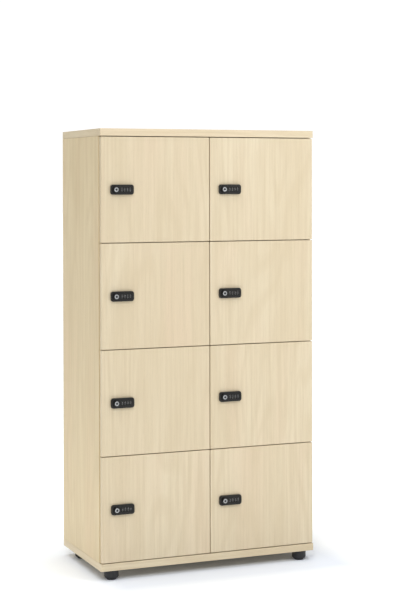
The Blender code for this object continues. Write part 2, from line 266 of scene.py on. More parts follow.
class Nodes:
    """A short way to write a material's node tree."""

    def __init__(self, name):
        self.material = bpy.data.materials.new(name)
        self.material.use_nodes = True
        self.tree = self.material.node_tree
        self.shader = self.tree.nodes["Principled BSDF"]

    def put(self, kind, sockets=None, **settings):
        node = self.tree.nodes.new(kind)
        for key, value in settings.items():
            setattr(node, key, value)
        for key, value in (sockets or {}).items():
            self.feed(node.inputs[key], value)
        return node

    def feed(self, socket, value):
        if isinstance(value, bpy.types.NodeSocket):
            self.tree.links.new(value, socket)
        else:
            socket.default_value = value

    def math(self, operation, a, b=0.0):
        return self.put("ShaderNodeMath", {0: a, 1: b}, operation=operation).outputs[0]

    def vector(self, operation, a, b=(0.0, 0.0, 0.0), output="Vector"):
        node = self.put("ShaderNodeVectorMath", {0: a, 1: b}, operation=operation)
        return node.outputs[output]

    def noise(self, vector, scale, detail=2.0, roughness=0.5, distortion=0.0):
        sockets = {"Vector": vector, "Scale": scale, "Detail": detail}
        sockets.update({"Roughness": roughness, "Distortion": distortion})
        return self.put("ShaderNodeTexNoise", sockets).outputs["Fac"]

    def mapped(self, vector, scale=(1, 1, 1), location=(0, 0, 0)):
        return self.put(
            "ShaderNodeMapping", {"Vector": vector, "Scale": scale, "Location": location}
        ).outputs[0]

    def between(self, value, low, high, to_low=0.0, to_high=1.0):
        sockets = {"Value": value, "From Min": low, "From Max": high}
        sockets.update({"To Min": to_low, "To Max": to_high})
        return self.put("ShaderNodeMapRange", sockets, clamp=True).outputs[0]

    def blend(self, factor, a, b, mode="MIX"):
        node = self.put("ShaderNodeMix", data_type="RGBA", blend_type=mode)
        self.feed(node.inputs["Factor"], factor)
        self.feed(node.inputs[6], a)
        self.feed(node.inputs[7], b)
        return node.outputs[2]

    def bump(self, height, distance, strength=1.0):
        return self.put(
            "ShaderNodeBump", {"Height": height, "Distance": distance, "Strength": strength}
        ).outputs[0]

    def shade(self, **values):
        for key, value in values.items():
            self.feed(self.shader.inputs[key.replace("_", " ")], value)
        return self.material


MAPLE = (0.713, 0.599, 0.403, 1.0)
MAPLE_DARK = (0.652, 0.532, 0.341, 1.0)
MAPLE_PINK = (0.741, 0.588, 0.404, 1.0)
MAPLE_PALE = (0.769, 0.661, 0.462, 1.0)
# Each board is from its own sheet, so its tone differs a little; the side tint also holds painted
# shade of the side faces turned from the light.
DOOR_TINT = (0.93, 0.932, 0.963)
SIDE_TONE_AND_SHADE_TINT = (0.936, 0.906, 0.833)
SLAB_TINT = (0.95, 0.95, 0.97)


def along_grain(nodes, grain, edge_grain):
    """Coordinates in metres with the grain running along Z, also on the edges across it."""
    place = nodes.put("ShaderNodeTexCoord")
    split = nodes.put("ShaderNodeSeparateXYZ", {0: place.outputs["Object"]}).outputs
    facing = nodes.put("ShaderNodeSeparateXYZ", {0: place.outputs["Normal"]}).outputs
    across = [a for a in "XYZ" if a != grain]
    plain = nodes.put(
        "ShaderNodeCombineXYZ", {0: split[across[0]], 1: split[across[1]], 2: split[grain]}
    ).outputs[0]
    turned_across = [a for a in "XYZ" if a != edge_grain]
    edge = nodes.put(
        "ShaderNodeCombineXYZ",
        {0: split[turned_across[0]], 1: split[turned_across[1]], 2: split[edge_grain]},
    ).outputs[0]
    on_edge = nodes.math("GREATER_THAN", nodes.math("ABSOLUTE", facing[grain]), 0.7)
    mixed = nodes.put("ShaderNodeMix", data_type="VECTOR")
    nodes.feed(mixed.inputs["Factor"], on_edge)
    nodes.feed(mixed.inputs[4], plain)
    nodes.feed(mixed.inputs[5], edge)
    return mixed.outputs[1]


def maple(name, grain="Z", edge_grain="X", offset=(0.0, 0.0, 0.0), tint=(1.0, 1.0, 1.0)):
    """Pale maple woodgrain melamine: faint cathedral figure, fine streaks and short pores."""
    n = Nodes(name)
    wood = n.mapped(along_grain(n, grain, edge_grain), location=offset)
    # Slow bands across the board, with the arches of flat-sawn figure from stretched noise.
    figure = n.noise(n.mapped(wood, (1.0, 1.0, 0.16)), 6.5, 1.5, 0.45, 0.35)
    rings = n.math("SINE", n.math("MULTIPLY", figure, 58.0))
    rings = n.between(rings, -0.2, 1.0)
    patches = n.noise(n.mapped(wood, (1.0, 1.0, 0.22)), 5.0, 2.0)
    streaks = n.noise(n.mapped(wood, (1.0, 1.0, 0.018)), 120.0, 3.0, 0.6)
    fine = n.noise(n.mapped(wood, (1.0, 1.0, 0.03)), 620.0, 2.0, 0.6)
    pores = n.noise(n.mapped(wood, (1.0, 1.0, 0.07)), 900.0, 1.0)
    pink = n.noise(n.mapped(wood, (1.0, 1.0, 0.12), (3.1, 0.7, 1.9)), 9.0, 2.0)
    colour = n.blend(n.between(patches, 0.35, 0.68), MAPLE, MAPLE_PALE)
    colour = n.blend(n.between(pink, 0.48, 0.72, 0.0, 0.6), colour, MAPLE_PINK)
    colour = n.blend(n.math("MULTIPLY", rings, 0.34), colour, MAPLE_DARK)
    colour = n.blend(n.between(streaks, 0.42, 0.75, 0.0, 0.75), colour, MAPLE_DARK)
    shade = n.between(fine, 0.3, 0.7, 0.965, 1.02)
    shade = n.math("MULTIPLY", shade, n.between(pores, 0.66, 0.74, 1.0, 0.93))
    tinted = {k: n.math("MULTIPLY", shade, tint[k]) for k in range(3)}
    grey = n.put("ShaderNodeCombineColor", tinted).outputs[0]
    colour = n.blend(1.0, colour, grey, "MULTIPLY")
    relief = n.math("ADD", fine, n.math("MULTIPLY", pores, 0.6))
    n.shader.inputs["Specular IOR Level"].default_value = 0.22
    return n.shade(
        Base_Color=colour,
        Roughness=n.between(streaks, 0.3, 0.8, 0.40, 0.50),
        Normal=n.bump(relief, 0.00004, 0.35),
    )


def moulded(name, colour, roughness, grain_scale=2600.0, level=0.5):
    """Black moulded plastic: spark-eroded texture, and colour made lighter along sharp convex edges.
    """
    n = Nodes(name)
    place = n.put("ShaderNodeTexCoord").outputs["Object"]
    speckle = n.noise(place, grain_scale, 2.0, 0.6)
    cloud = n.noise(place, 60.0, 3.0, 0.5)
    pale = tuple(min(1.0, c * 1.7) for c in colour)
    tint = n.blend(n.between(cloud, 0.35, 0.7, 0.0, 0.6), (*colour, 1.0), (*pale, 1.0))
    # Colour made lighter along sharp convex edges, found from the mesh's pointiness.
    edge = n.put("ShaderNodeNewGeometry").outputs["Pointiness"]
    sharp_edge_lightening = n.between(edge, 0.54, 0.62, 0.0, 0.5)
    tint = n.blend(sharp_edge_lightening, tint, (*tuple(c * 3.0 + 0.01 for c in colour), 1.0))
    n.shader.inputs["Specular IOR Level"].default_value = level
    return n.shade(
        Base_Color=tint,
        Roughness=n.between(cloud, 0.3, 0.75, roughness - 0.05, roughness + 0.07),
        Normal=n.bump(speckle, 0.00002, 0.5),
    )


def metal(name, colour, roughness):
    """Plated or satin metal with a brushed direction and a few darker marks."""
    n = Nodes(name)
    place = n.put("ShaderNodeTexCoord").outputs["Object"]
    brush = n.noise(n.mapped(place, (1.0, 40.0, 1.0)), 900.0, 3.0, 0.65)
    cloud = n.noise(place, 90.0, 3.0)
    dark = tuple(c * 0.72 for c in colour)
    tint = n.blend(n.between(cloud, 0.4, 0.75, 0.0, 0.55), (*colour, 1.0), (*dark, 1.0))
    n.shader.inputs["Metallic"].default_value = 1.0
    return n.shade(
        Base_Color=tint,
        Roughness=n.between(brush, 0.3, 0.7, roughness - 0.07, roughness + 0.09),
        Normal=n.bump(brush, 0.00001, 0.4),
    )


def printed(name, colour):
    """Pale printed numbers, slightly uneven."""
    n = Nodes(name)
    place = n.put("ShaderNodeTexCoord").outputs["Object"]
    uneven = n.noise(place, 1800.0, 2.0)
    low = tuple(c * 0.86 for c in colour)
    tint = n.blend(n.between(uneven, 0.35, 0.7), (*colour, 1.0), (*low, 1.0))
    return n.shade(Base_Color=tint, Roughness=n.between(uneven, 0.3, 0.7, 0.45, 0.6))


LOCK_BLACK = moulded("lock_black", (0.0090, 0.0082, 0.0070), 0.44, level=0.3)
KNOB_BLACK = moulded("knob_black", (0.0080, 0.0075, 0.0068), 0.38, level=0.3)
WHEEL_BLACK = moulded("wheel_black", (0.024, 0.023, 0.022), 0.36)
FOOT_BLACK = moulded("foot_black", (0.018, 0.018, 0.019), 0.48, 1500.0, level=0.35)
KEYWAY_BLACK = moulded("keyway_black", (0.004, 0.004, 0.004), 0.6)
NUMBER_WHITE = printed("number_white", (0.75, 0.75, 0.73))
SATIN_NICKEL = metal("satin_nickel", (0.46, 0.465, 0.465), 0.38)
ZINC = metal("zinc_plate", (0.60, 0.61, 0.63), 0.34)
NICKEL = metal("nickel_plate", (0.66, 0.65, 0.63), 0.24)
CLEAR_BUFFER = moulded("clear_buffer", (0.62, 0.62, 0.60), 0.25)
CAP_BEIGE = moulded("cap_beige", (0.66, 0.56, 0.40), 0.45)


# ---------------------------------------------------------------- boards


def dress(node, finish):
    """Gives a CAD node its final material."""
    obj = NODES[node]
    obj.data.materials.clear()
    obj.data.materials.append(finish)


def dress_boards():
    # The side tint darkens and warms the side boards, divider and back: board tone and painted shade
    # together.
    side = maple("side_laminate", "Z", "Y", (0.31, 0.0, 0.4), SIDE_TONE_AND_SHADE_TINT)
    for node in ("left_side_panel", "right_side_panel", "centre_divider"):
        dress(node, side)
    dress("back_panel", maple("back_laminate", "Z", "X", (2.3, 0.5, 0.9), SIDE_TONE_AND_SHADE_TINT))
    dress("top_panel", maple("top_laminate", "X", "Y", (0.7, 1.3, 0.2), SLAB_TINT))
    dress("bottom_panel", maple("bottom_laminate", "X", "Y", (1.9, 0.4, 0.8), SLAB_TINT))
    shelf = maple("shelf_laminate", "X", "Y", (1.1, 2.1, 0.5), SLAB_TINT)
    for node in NODES:
        if node.startswith("shelf_"):
            dress(node, shelf)
    for index, bay in enumerate(BAYS):
        offset = (0.37 * index + 0.11, 0.23 * index, 0.77 * index)
        dress(f"door_{bay}", maple(f"door_laminate_{bay}", "Z", "X", offset, DOOR_TINT))


# ---------------------------------------------------------------- number lock

# Everything is about the point where the spindle's axis meets the door's front. Y runs into the
# door, so what stands in front of the door has a negative y.
LOCK_WIDTH, LOCK_HEIGHT, LOCK_PROUD = 0.082, 0.034, 0.009
LOCK_CORNER, LOCK_RIM, LOCK_SEAM = 0.0075, 0.0014, 0.0003
KNOB_OFFSET = 0.017  # from the housing's left end to the spindle
WHEELS = 4
WHEEL_PITCH, WHEEL_RADIUS, WHEEL_WIDTH = 0.010, 0.0065, 0.005
FIRST_WHEEL = 0.022  # first wheel from the spindle
LAST_WHEEL = FIRST_WHEEL + (WHEELS - 1) * WHEEL_PITCH
BOSS_RADIUS, BOSS_START, BOSS_END = 0.0092, -0.004, 0.0298
BORE_RADIUS, BORE_START, BORE_END = 0.0053, -0.011, 0.032
SEAT_RADIUS, SEAT_FLOOR = 0.0104, -0.0084
BEZEL_WIDTH, BEZEL_HEIGHT, BEZEL_CORNER, BEZEL_DEPTH = 0.0405, 0.0165, 0.0022, 0.0005
WINDOW_WIDTH, WINDOW_HEIGHT, WINDOW_CORNER, WINDOW_DEPTH = 0.0058, 0.0120, 0.0009, 0.0026
CAVITY_MARGIN, CAVITY_FRONT, CAVITY_BACK, CAVITY_HALF_HEIGHT = 0.0031, -0.0074, 0.002, 0.0072
CUT_THROUGH = 0.002


def lock_housing():
    """Housing with rounded rim, a sunk bezel round four windows, and the tube for the spindle."""
    middle = LOCK_WIDTH / 2 - KNOB_OFFSET
    outline = rounded_rectangle(LOCK_WIDTH, LOCK_HEIGHT, LOCK_CORNER, 8, (middle, 0.0))
    heights = (LOCK_SEAM, LOCK_PROUD)
    shell = prism_mesh("lock_housing_shell", outline, FACING_FRONT, *heights, LOCK_RIM, 4)
    boss = bar_mesh("boss", BOSS_RADIUS, BOSS_START, BOSS_END, 40)
    bore = bar_mesh("bore", BORE_RADIUS, BORE_START, BORE_END, 32)
    seat = bar_mesh("knob_seat", SEAT_RADIUS, BORE_START, SEAT_FLOOR, 48)
    wheels_middle = (FIRST_WHEEL + LAST_WHEEL) / 2
    frame_outline = rounded_rectangle(
        BEZEL_WIDTH, BEZEL_HEIGHT, BEZEL_CORNER, 5, (wheels_middle, 0.0)
    )
    beyond = LOCK_PROUD + CUT_THROUGH
    bezel = prism_mesh("bezel", frame_outline, FACING_FRONT, LOCK_PROUD - BEZEL_DEPTH, beyond)
    cavity_low = (FIRST_WHEEL - CAVITY_MARGIN, CAVITY_FRONT, -CAVITY_HALF_HEIGHT)
    cavity_high = (LAST_WHEEL + CAVITY_MARGIN, CAVITY_BACK, CAVITY_HALF_HEIGHT)
    cavity = box_mesh("cavity", cavity_low, cavity_high)
    bm = bmesh.new()
    for k in range(WHEELS):
        centre = (FIRST_WHEEL + k * WHEEL_PITCH, 0.0)
        window = rounded_rectangle(WINDOW_WIDTH, WINDOW_HEIGHT, WINDOW_CORNER, 4, centre)
        extruded(bm, window, FACING_FRONT, LOCK_PROUD - WINDOW_DEPTH, beyond)
    windows = finish_mesh(bm, "windows")
    cuts = [("DIFFERENCE", cut) for cut in (bore, seat, bezel, cavity, windows)]
    return baked(shell, ("UNION", boss), *cuts)


def fluted_outline(radius, flutes, depth, steps=8):
    """A round outline with shallow finger flutes."""
    points = []
    count = flutes * steps
    for k in range(count):
        angle = 2 * pi * k / count
        dip = depth * max(0.0, cos(flutes * angle)) ** 2
        points.append(((radius - dip) * cos(angle), (radius - dip) * sin(angle)))
    return points


KNOB_RADIUS, KNOB_BACK, KNOB_FRONT = 0.0100, 0.0087, 0.0163  # depths in front of the door
KNOB_FLUTES, FLUTE_DEPTH, KNOB_ROUNDING = 16, 0.0005, 0.0007
RING_INNER, RING_OUTER = 0.0040, 0.0078
RING_BACK, RING_STEP, RING_FRONT = -0.0160, -0.0168, -0.0170
PLUG_RADIUS, PLUG_FRONT, PLUG_BACK = 0.0036, -0.0166, -0.0120
KEY_SLOT_HALF = Vector((0.0006, 0.0020, 0.0026))
KEY_SLOT_CENTRE = Vector((0.0, -0.0160, 0.0))
SPINDLE_RADIUS, SPINDLE_FRONT, SPINDLE_LIP = 0.0050, -0.0086, 0.0003
SQUARE_HALF, SQUARE_END, SQUARE_ROUNDING, SQUARE_SUNK = 0.0035, 0.0360, 0.0003, 0.004


def knob_grip():
    outline = fluted_outline(KNOB_RADIUS, KNOB_FLUTES, FLUTE_DEPTH)
    heights = (KNOB_BACK, KNOB_FRONT)
    return prism_mesh(
        "knob_grip", outline, FACING_FRONT, *heights, KNOB_ROUNDING, 3, ROUND_CREASE
    )


def knob_face():
    """Satin ring on the knob's front, open in the middle for the key plug."""
    profile = rounded_profile(
        [
            (RING_INNER, RING_BACK, 0),
            (RING_INNER, RING_STEP, 0.0003),
            (RING_INNER + 0.0010, RING_FRONT, 0.0003),
            (RING_OUTER - 0.0005, RING_FRONT, 0.0005),
            (RING_OUTER, RING_BACK, 0),
        ]
    )
    return turned_mesh("knob_face", profile, 64, ALONG_Y)


def key_plug():
    """A dark plug with an upright key slot."""
    profile = rounded_profile(
        [
            (0.0, PLUG_FRONT, 0),
            (PLUG_RADIUS, PLUG_FRONT, 0.0003),
            (PLUG_RADIUS, PLUG_BACK, 0),
            (0.0, PLUG_BACK, 0),
        ]
    )
    plug = turned_mesh("key_plug", profile, 40, ALONG_Y)
    slot_low, slot_high = KEY_SLOT_CENTRE - KEY_SLOT_HALF, KEY_SLOT_CENTRE + KEY_SLOT_HALF
    return baked(plug, ("DIFFERENCE", box_mesh("key_slot", slot_low, slot_high)))


def spindle():
    """The knob's spindle with its square end, as in the CAD."""
    shaft = bar_mesh("spindle", SPINDLE_RADIUS, SPINDLE_FRONT, BOSS_END + SPINDLE_LIP, 32)
    bm = bmesh.new()
    low = (-SQUARE_HALF, BOSS_END - SQUARE_SUNK, -SQUARE_HALF)
    high = (SQUARE_HALF, SQUARE_END, SQUARE_HALF)
    rounded_box(bm, low, high, SQUARE_ROUNDING, 2)
    return baked(shaft, ("UNION", finish_mesh(bm, "square")))


NUT_CHAMFER, NUT_CLEAR = 0.0005, 0.001


def hex_outline(across_flats):
    radius = across_flats / 2 / cos(pi / 6)
    return [(radius * cos(pi / 3 * k), radius * sin(pi / 3 * k)) for k in range(6)]


def hex_nut(name, across_flats, bore, low, high):
    """A hexagon nut about the Y axis, between two depths behind the door's front."""
    nut = prism_mesh(name, hex_outline(across_flats), FACING_FRONT, -high, -low, NUT_CHAMFER)
    hole = bar_mesh("nut_bore", bore, low - NUT_CLEAR, high + NUT_CLEAR, 36)
    return baked(nut, ("DIFFERENCE", hole))


DIGITS = 10
# The finger notch at each corner of a wheel: turns from the corner, and shares of the radius.
NOTCH = ((-0.085, 0.985), (-0.05, 0.955), (0.0, 0.945), (0.05, 0.955), (0.085, 0.985))
WHEEL_ROUNDING = 0.00025
FLAT_DISTANCE = WHEEL_RADIUS * cos(pi / DIGITS)
DIGIT_HEIGHT, DIGIT_DEPTH, DIGIT_BOLDNESS = 0.0037, 0.00003, 0.00009
FONT_SIZE_PER_HEIGHT = 1.38
SHAFT_RADIUS, SHAFT_BEYOND = 0.0020, 0.0017


def wheel_outline():
    """Ten flats with a finger notch at each corner between them."""
    points = []
    for k in range(DIGITS):
        corner = 2 * pi * k / DIGITS
        for turn, share in NOTCH:
            reach = WHEEL_RADIUS * share
            points.append((reach * cos(corner + turn), reach * sin(corner + turn)))
    return points


def number_wheel():
    """One wheel about the X axis, centred, with a flat facing the window."""
    half = WHEEL_WIDTH / 2
    outline = wheel_outline()
    return prism_mesh(
        "number_wheel", outline, ALONG_X, -half, half, WHEEL_ROUNDING, 2, SOFT_CREASE
    )


def digit_meshes():
    """The ten digits as thin flat meshes, centred, facing -Y."""
    made = []
    for value in range(DIGITS):
        curve = bpy.data.curves.new(f"digit_{value}", "FONT")
        curve.body = str(value)
        curve.size = DIGIT_HEIGHT * FONT_SIZE_PER_HEIGHT
        curve.extrude = DIGIT_DEPTH
        curve.resolution_u = 3
        curve.offset = DIGIT_BOLDNESS
        obj = object_from(curve, f"digit_{value}")
        bpy.context.view_layer.update()
        graph = bpy.context.evaluated_depsgraph_get()
        mesh = bpy.data.meshes.new_from_object(obj.evaluated_get(graph))
        bpy.data.objects.remove(obj)
        xs = [v.co.x for v in mesh.vertices]
        ys = [v.co.y for v in mesh.vertices]
        centre = Vector(((min(xs) + max(xs)) / 2, (min(ys) + max(ys)) / 2, 0.0))
        mesh.transform(Matrix.Translation(-centre))
        mesh.transform(Matrix.Rotation(pi / 2, 4, "X"))
        made.append(mesh)
    return made


def wheel_digits():
    """All ten digits round one wheel, as one mesh about the X axis."""
    bm = bmesh.new()
    for value, mesh in enumerate(digit_meshes()):
        start = len(bm.verts)
        bm.from_mesh(mesh)
        bm.verts.ensure_lookup_table()
        new = bm.verts[start:]
        out = Matrix.Translation((0.0, -FLAT_DISTANCE, 0.0))
        turn = Matrix.Rotation(2 * pi * value / DIGITS, 4, "X")
        bmesh.ops.transform(bm, matrix=turn @ out, verts=new)
    mesh = bpy.data.meshes.new("wheel_digits")
    bm.to_mesh(mesh)
    bm.free()
    return mesh


def wheel_shaft():
    """The shaft that all four wheels run on, about the X axis, from the first wheel's middle."""
    ends = WHEEL_WIDTH / 2 + SHAFT_BEYOND
    high = LAST_WHEEL - FIRST_WHEEL + ends
    return bar_mesh("wheel_shaft", SHAFT_RADIUS, -ends, high, 24, ALONG_X)


# Of a screw head's radius: the cross recess's reach and half width. Of its thickness: the
# recess's floor and the dome's rounding.
CROSS_REACH, CROSS_HALF_WIDTH, CROSS_FLOOR, HEAD_ROUNDING = 0.55, 0.16, 0.45, 0.8
CROSS_CLEAR = 0.001


def screw_head(name, radius, thickness):
    """A low pan head with a cross recess, about the Y axis, standing on y = 0 towards +Y."""
    profile = rounded_profile(
        [
            (0.0, 0.0, 0),
            (radius, 0.0, 0),
            (radius, thickness, thickness * HEAD_ROUNDING),
            (0.0, thickness, 0),
        ]
    )
    head = turned_mesh(name, profile, 32, ALONG_Y)
    arm, wide = radius * CROSS_REACH, radius * CROSS_HALF_WIDTH
    deep, top = thickness * CROSS_FLOOR, thickness + CROSS_CLEAR
    first = box_mesh("cross_a", (-arm, deep, -wide), (arm, top, wide))
    second = box_mesh("cross_b", (-wide, deep, -arm), (wide, top, arm))
    return baked(head, ("DIFFERENCE", first), ("DIFFERENCE", second))


# Nuts: size across flats, bore, and the depths between which they sit.
CLAMP_NUT = (0.0240, 0.0093, 0.0183, 0.0228)
CAM_NUT = (0.0110, 0.0037, 0.0338, 0.0360)
# Screw heads: radius and thickness.
LOCK_SCREW = (0.0042, 0.0024)
FLANGE_SCREW = (0.0038, 0.0019)
BACK_SCREW = (0.0034, 0.0015)
LOCK_SCREW_PLACE = Vector((LAST_WHEEL + 0.0075, DOOR_THICKNESS + 0.0001, 0.0))
# The made-up code that each lock shows.
CODES = {
    "left_1": (4, 1, 7, 1),
    "left_2": (0, 3, 1, 8),
    "left_3": (2, 9, 4, 1),
    "left_4": (7, 1, 1, 5),
    "right_1": (1, 6, 0, 4),
    "right_2": (3, 5, 1, 9),
    "right_3": (8, 1, 2, 0),
    "right_4": (1, 1, 6, 3),
}


def make_locks():
    housing = lock_housing()
    grip, face, plug, shaft = knob_grip(), knob_face(), key_plug(), spindle()
    wheel, digits, axle = number_wheel(), wheel_digits(), wheel_shaft()
    clamp_nut = hex_nut("lock_clamp_nut", *CLAMP_NUT)
    cam_nut = hex_nut("cam_nut", *CAM_NUT)
    screw = screw_head("lock_screw", *LOCK_SCREW)
    for bay in BAYS:
        at = spindle_place(bay)
        door, knob, wheels = f"door_{bay}", f"knob_{bay}", f"wheels_{bay}"
        piece(f"lock_body_{bay}", housing, LOCK_BLACK, door, at,
              replaces=[f"lock_housing_{bay}"])
        piece(f"knob_grip_{bay}", grip, KNOB_BLACK, knob, at,
              replaces=[f"lock_knob_{bay}"])
        piece(f"knob_face_{bay}", face, SATIN_NICKEL, knob, at)
        piece(f"key_plug_{bay}", plug, KEYWAY_BLACK, knob, at)
        piece(f"lock_spindle_{bay}", shaft, ZINC, knob, at)
        piece(f"cam_nut_{bay}", cam_nut, ZINC, knob, at)
        piece(f"lock_clamp_nut_{bay}", clamp_nut, ZINC, door, at)
        back = at + LOCK_SCREW_PLACE
        piece(f"lock_screw_{bay}", screw, ZINC, door, back)
        first = joint_place(f"wheels_{bay}_turn")
        piece(f"wheel_shaft_{bay}", axle, ZINC, wheels, first,
              replaces=[f"number_wheels_{bay}"])
        for k, value in enumerate(CODES[bay]):
            spot = first + Vector((k * WHEEL_PITCH, 0.0, 0.0))
            turn = Euler((-2 * pi * value / DIGITS, 0.0, 0.0))
            piece(f"number_wheel_{bay}_{k + 1}", wheel, WHEEL_BLACK, wheels,
                  spot, turn)
            piece(f"wheel_numbers_{bay}_{k + 1}", digits, NUMBER_WHITE, wheels,
                  spot, turn)
        dress(f"lock_cam_{bay}", ZINC)


# ---------------------------------------------------------------- levelling feet

# Heights are above the floor.
CUP_FOOT_RADIUS, CUP_FOOT_TOP, CUP_FOOT_BOTTOM = 0.0250, 0.0327, 0.0045
STEM_HOLE_RADIUS, STEM_HOLE_TOP = 0.0043, 0.0305
GLIDE_RADIUS, GLIDE_TOP = 0.0165, 0.0041
STEM_RADIUS, STEM_TOP = 0.0040, 0.0300


def foot_socket():
    """The round cup under the cabinet, with a rounded lower edge and a hole for the stem."""
    profile = rounded_profile(
        [
            (0.0, CUP_FOOT_TOP, 0),
            (CUP_FOOT_RADIUS, CUP_FOOT_TOP, 0.0006),
            (CUP_FOOT_RADIUS, CUP_FOOT_BOTTOM, 0.0090),
            (STEM_HOLE_RADIUS, CUP_FOOT_BOTTOM, 0.0004),
            (STEM_HOLE_RADIUS, STEM_HOLE_TOP, 0),
            (0.0, STEM_HOLE_TOP, 0),
        ]
    )
    return turned_mesh("foot_socket", profile, 72, ALONG_Z)


def foot_glide():
    """The pad on the floor, with its stem."""
    profile = rounded_profile(
        [
            (0.0, 0.0, 0),
            (GLIDE_RADIUS, 0.0, 0.0018),
            (GLIDE_RADIUS, GLIDE_TOP, 0.0004),
            (STEM_RADIUS, GLIDE_TOP, 0),
            (STEM_RADIUS, STEM_TOP, 0),
            (0.0, STEM_TOP, 0),
        ]
    )
    return turned_mesh("foot_glide", profile, 64, ALONG_Z)


def make_feet():
    socket, glide = foot_socket(), foot_glide()
    for foot in FEET:
        at = joint_place(f"glide_{foot}_turn")
        piece(f"foot_cup_{foot}", socket, FOOT_BLACK, "cabinet", at,
              replaces=[f"foot_socket_{foot}"])
        piece(f"foot_pad_{foot}", glide, FOOT_BLACK, f"glide_{foot}", at,
              replaces=[f"foot_glide_{foot}"])


# ---------------------------------------------------------------- concealed hinges

HINGE_CUP_INSET = 0.0225  # from the hinge axis to the cup's centre
HINGE_FROM_END = 0.080  # from the door's top or bottom edge
# The cup, from the door's back.
CUP_RADIUS, CUP_DEPTH, CUP_WALL, CUP_LIP = 0.0173, 0.0118, 0.0010, 0.0016
FLANGE_LOW, FLANGE_HIGH = 0.0001, 0.0012
WING_SIZE, WING_MIDDLE, WING_HIGH = (0.0150, 0.0620, 0.0060), (-0.0095, 0.0), 0.0011
FLANGE_SCREW_SPOTS = ((-0.0105, 0.024), (-0.0105, -0.024))
# The link carrier inside the cup.
CORE_LEFT, CORE_RIGHT, CORE_TOP, CORE_BASE = -0.0095, 0.0110, -0.0008, 0.0014
CHEEK_AT, CHEEK_HALF = 0.0078, 0.0008
RIVET_RADIUS, RIVET_HALF, RIVET_SPOTS = 0.0016, 0.0098, ((-0.0055, -0.0045), (0.0060, -0.0045))
# The mounting plate and the arm, from the board's inner face and front edge. A size is length,
# height and corner radius.
CROSS_SIZE, CROSS_MIDDLE, CROSS_TOP = (0.0150, 0.0500, 0.0055), (0.0370, 0.0), 0.0022
SPINE_SIZE, SPINE_MIDDLE, SPINE_TOP = (0.0480, 0.0110, 0.0020), (0.0350, 0.0), 0.0056
PLATE_BOTTOM = 0.0001
PLATE_SCREW_SPOTS = ((-0.0021, 0.0370, -0.016), (-0.0021, 0.0370, 0.016), (-0.0139, 0.0300, 0.0))
ARM_HALF_WIDTH = 0.0058
ARM_OUTLINE = (
    (-0.0050, 0.0620), (-0.0112, 0.0620), (-0.0138, 0.0560), (-0.0142, 0.0220),
    (-0.0128, 0.0030), (-0.0108, 0.0012), (-0.0072, 0.0012), (-0.0058, 0.0040),
    (-0.0050, 0.0140),
)
SLOT_SIZE, SLOT_MIDDLE = (0.0120, 0.0046, 0.0022), (0.0490, 0.0)
SLOT_LOW, SLOT_HIGH = 0.0125, 0.0160
LINK_FROM = (-0.0095, 0.0040)  # from the board's face and front edge
LINK_TO = (-0.0165, -0.0040)  # from the hinge axis and the door's back
LINK_STEPS = 20
# The two link plates: shift off the line between the ends, half width and half thickness.
LINK_PLATES = ((0.0006, 0.0050, 0.0007), (-0.0016, 0.0036, 0.0006))


def hinge_cup():
    """A pressed cup and its screw wings, about the cup's centre on the door's back, open to +Y."""
    rim, inner, floor = CUP_RADIUS + CUP_LIP, CUP_RADIUS - CUP_WALL, -CUP_DEPTH
    profile = rounded_profile(
        [
            (0.0, floor, 0),
            (CUP_RADIUS, floor, 0.0022),
            (CUP_RADIUS, FLANGE_LOW, 0),
            (rim, FLANGE_LOW, 0),
            (rim, FLANGE_HIGH, 0.0005),
            (inner, FLANGE_HIGH, 0.0007),
            (inner, floor + CUP_WALL, 0.0014),
            (0.0, floor + CUP_WALL, 0),
        ]
    )
    cup = turned_mesh("hinge_cup", profile, 56, ALONG_Y)
    outline = rounded_rectangle(*WING_SIZE, 6, WING_MIDDLE)
    wings = prism_mesh("wings", outline, FACING_FRONT, -WING_HIGH, -FLANGE_LOW, 0.0003)
    mouth = bar_mesh("mouth", CUP_RADIUS - CUP_WALL / 2, -0.002, 0.004, 56)
    return baked(cup, ("UNION", baked(wings, ("DIFFERENCE", mouth))))


def hinge_core():
    """The folded link carrier and its two rivets inside the cup."""
    bm = bmesh.new()
    floor = -CUP_DEPTH + CUP_WALL
    for z in (-CHEEK_AT, CHEEK_AT):
        low, high = (CORE_LEFT, floor, z - CHEEK_HALF), (CORE_RIGHT, CORE_TOP, z + CHEEK_HALF)
        rounded_box(bm, low, high, 0.0006, 2)
    low, high = (CORE_LEFT, floor, -CHEEK_AT), (CORE_RIGHT, floor + CORE_BASE, CHEEK_AT)
    rounded_box(bm, low, high, 0.0005, 2)
    rivet = rounded_profile(
        [
            (0.0, -RIVET_HALF, 0),
            (RIVET_RADIUS, -RIVET_HALF, 0.0005),
            (RIVET_RADIUS, RIVET_HALF, 0.0005),
            (0.0, RIVET_HALF, 0),
        ]
    )
    for x, y in RIVET_SPOTS:
        turned(bm, rivet, 20, Matrix.Translation((x, y, 0.0)))
    return finish_mesh(bm, "hinge_core")


def mounting_plate():
    """A cross plate on the board's inner face, about the board's front edge, standing out to -X."""
    cross = rounded_rectangle(*CROSS_SIZE, 6, CROSS_MIDDLE)
    plate = prism_mesh("mounting_plate", cross, FACING_LEFT, PLATE_BOTTOM, CROSS_TOP, 0.0005)
    ridge = rounded_rectangle(*SPINE_SIZE, 4, SPINE_MIDDLE)
    spine = prism_mesh("spine", ridge, FACING_LEFT, PLATE_BOTTOM, SPINE_TOP, 0.0006)
    return baked(plate, ("UNION", spine))


def hinge_arm():
    """The cranked channel arm, about the board's inner face and front edge."""
    half = ARM_HALF_WIDTH
    arm = prism_mesh("hinge_arm", ARM_OUTLINE, ALONG_Z, -half, half, 0.0009, 3, ROUND_CREASE)
    opening = rounded_rectangle(*SLOT_SIZE, 6, SLOT_MIDDLE)
    slot = prism_mesh("slot", opening, FACING_LEFT, SLOT_LOW, SLOT_HIGH)
    return baked(arm, ("DIFFERENCE", slot))


